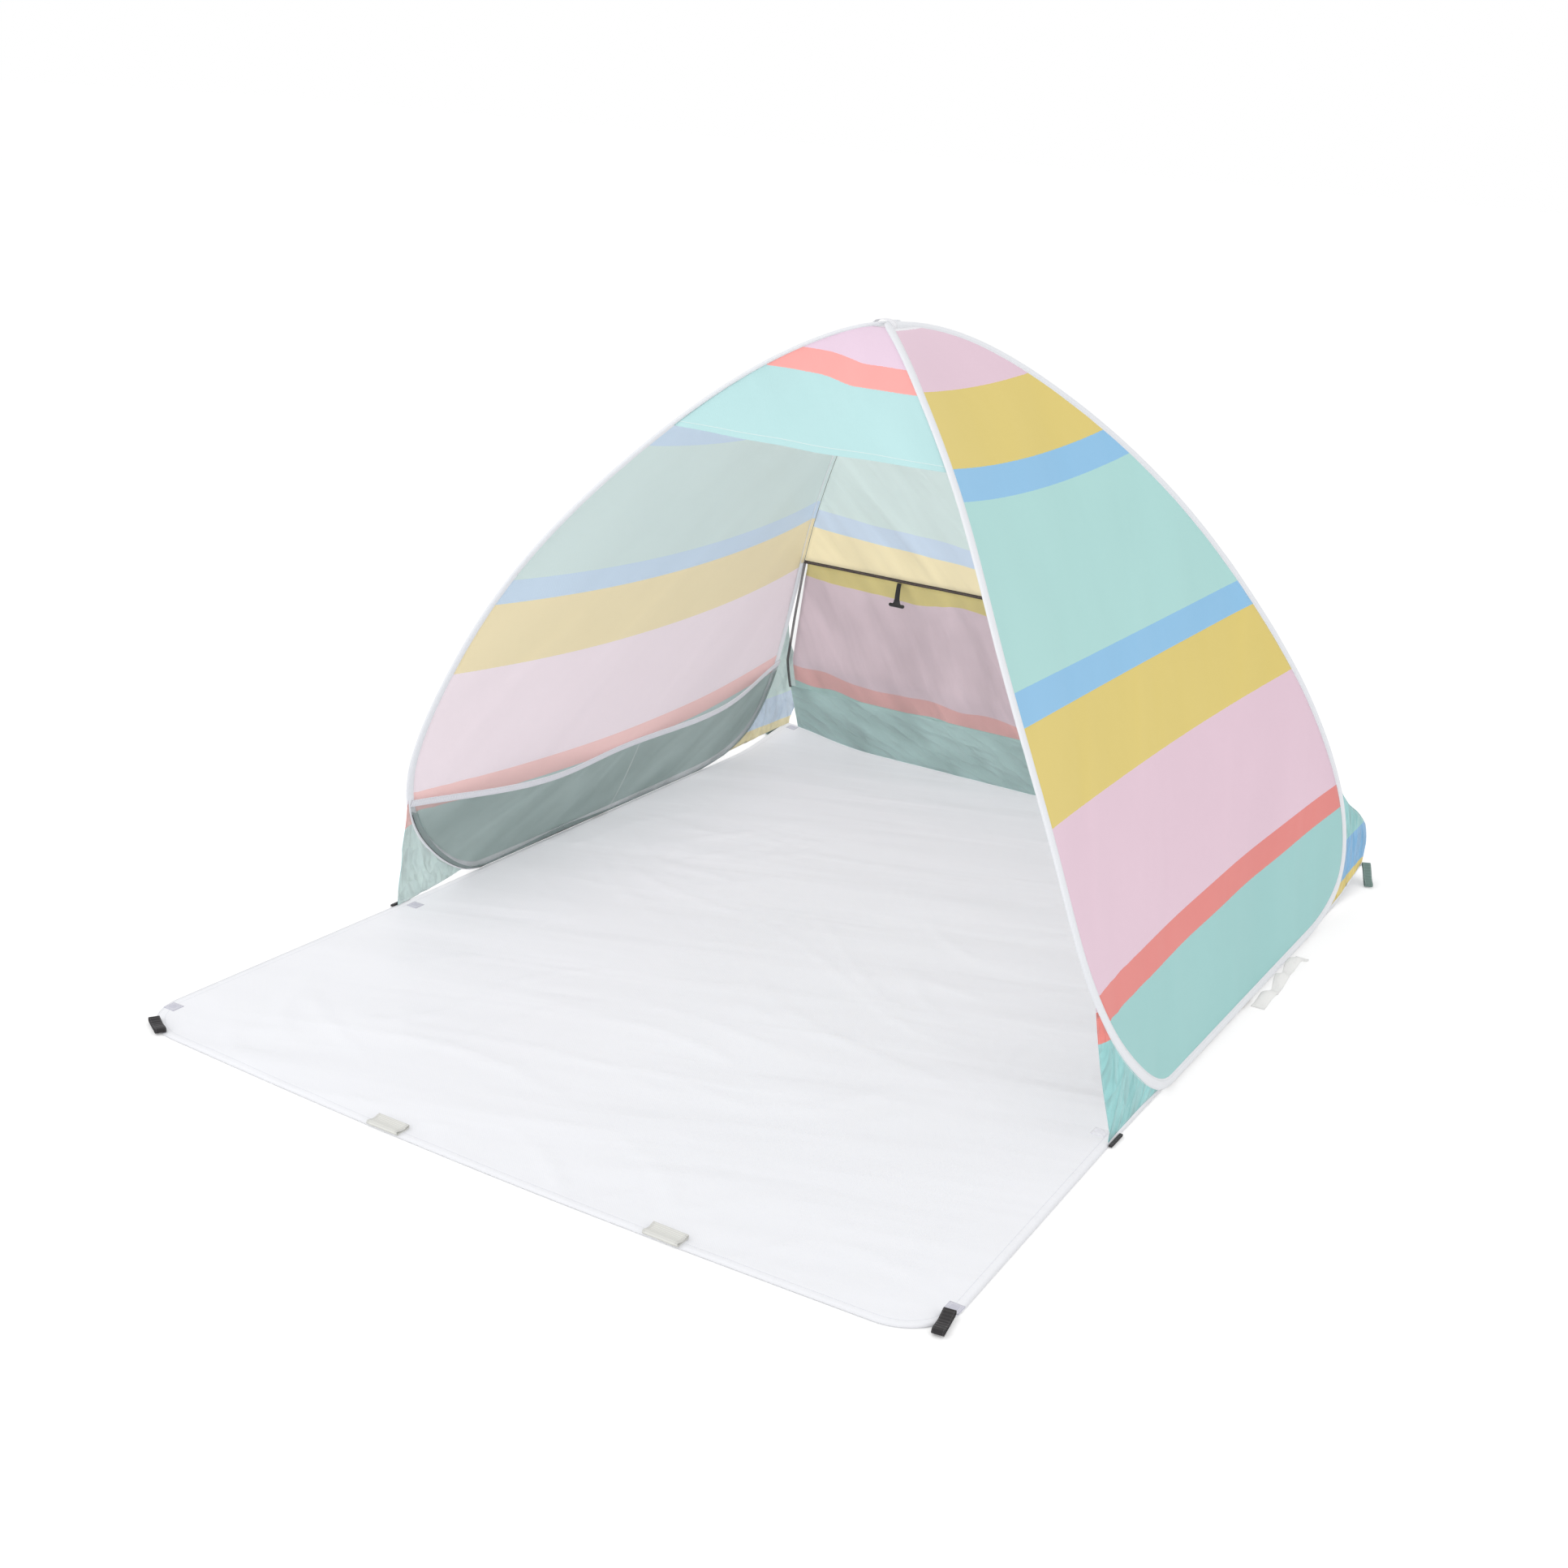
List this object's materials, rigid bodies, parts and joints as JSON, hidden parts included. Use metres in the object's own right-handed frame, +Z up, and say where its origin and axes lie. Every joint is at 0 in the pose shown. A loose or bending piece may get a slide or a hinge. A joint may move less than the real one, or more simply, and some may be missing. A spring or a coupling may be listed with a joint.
{
  "type": "pop-up beach tent",
  "caption": "Pop-up beach tent: two sprung side hoops in cloth sleeves, striped walls, rear net window under a weather flap, and a ground sheet that runs on as an apron.",
  "frame": {"origin": "on the ground, on the centre line, in the middle of the tent's floor between its front and rear corners", "axes": "+X to the tent's right as seen from the front, -Y out of the entrance, +Z up"},
  "size_m": [1.5867, 2.2196, 1.1997],
  "materials": {
    "spring_steel": "drawn spring wire",
    "brass": "crimped tube",
    "white_sleeve": "woven polyester tape",
    "striped_cloth": "striped polyester taffeta: pink, yellow, blue, teal and coral",
    "awning_cloth": "striped polyester taffeta: pink, coral and teal",
    "teal_cloth": "polyester taffeta",
    "white_sheet": "coated ground sheet",
    "black_net": "fine mesh",
    "black_webbing": "woven webbing",
    "grey_green_webbing": "woven webbing",
    "grey_patch": "sewn reinforcement",
    "white_elastic": "woven elastic",
    "cream_tab": "folded tape",
    "white_cotton": "soft cotton tape",
    "black_plastic": "moulded"
  },
  "bodies": {
    "left_side": {"left_hoop_wire": "spring_steel", "left_wire_ferrule": "brass", "left_hoop_sleeve": "white_sleeve", "left_wall": "striped_cloth", "left_pocket": "black_net", "left_pocket_band": "white_elastic", "crown_binding": "white_sleeve", "awning": "awning_cloth", "rear_panel": "striped_cloth", "window_seam_tape": "black_webbing", "window_net": "black_net", "left_window_binding": "black_webbing", "right_window_binding": "black_webbing", "rear_skirt": "teal_cloth", "floor_sheet": "white_sheet", "front_left_gusset": "striped_cloth", "rear_left_gusset": "striped_cloth", "left_apron_patch": "grey_patch", "left_front_patch": "grey_patch", "left_rear_patch": "grey_patch", "left_apron_loop": "black_webbing", "left_front_loop": "black_webbing", "left_rear_loop": "grey_green_webbing", "left_edge_tab": "cream_tab", "right_edge_tab": "cream_tab"},
    "right_side": {"right_hoop_wire": "spring_steel", "right_wire_ferrule": "brass", "right_hoop_sleeve": "white_sleeve", "right_wall": "striped_cloth", "right_pocket": "black_net", "right_pocket_band": "white_elastic", "front_right_gusset": "striped_cloth", "rear_right_gusset": "striped_cloth", "right_apron_patch": "grey_patch", "right_front_patch": "grey_patch", "right_rear_patch": "grey_patch", "right_apron_loop": "black_webbing", "right_front_loop": "black_webbing", "right_rear_loop": "grey_green_webbing", "tie_strap": "white_cotton"},
    "flap": {"window_flap": "striped_cloth"},
    "toggle_left": {"left_toggle": "black_plastic", "left_toggle_cord": "black_webbing"},
    "toggle_right": {"right_toggle": "black_plastic", "right_toggle_cord": "black_webbing"}
  },
  "joints": [
    {"name": "side_fold", "type": "hinge", "parent": "left_side", "child": "right_side", "pos_m": [0, -0.35006, 1.183], "axis": [0, 1, 0], "range_deg": [0, 60], "stiffness_Nm_per_rad": 1, "deforming": ["floor_sheet", "awning", "rear_panel", "window_seam_tape", "window_net", "right_window_binding", "rear_skirt", "crown_binding", "front_right_gusset", "rear_right_gusset"]},
    {"name": "flap_lift", "type": "hinge", "parent": "left_side", "child": "flap", "pos_m": [0, 0.47792, 0.52565], "axis": [1, 0, 0], "range_deg": [0, 150]},
    {"name": "left_toggle_swing", "type": "hinge", "parent": "left_side", "child": "toggle_left", "pos_m": [-0.33, 0.4759, 0.51807], "axis": [-1, 0, 0], "range_deg": [-15, 120]},
    {"name": "right_toggle_swing", "type": "hinge", "parent": "left_side", "child": "toggle_right", "pos_m": [0.33, 0.4759, 0.51807], "axis": [-1, 0, 0], "range_deg": [-15, 120]}
  ]
}
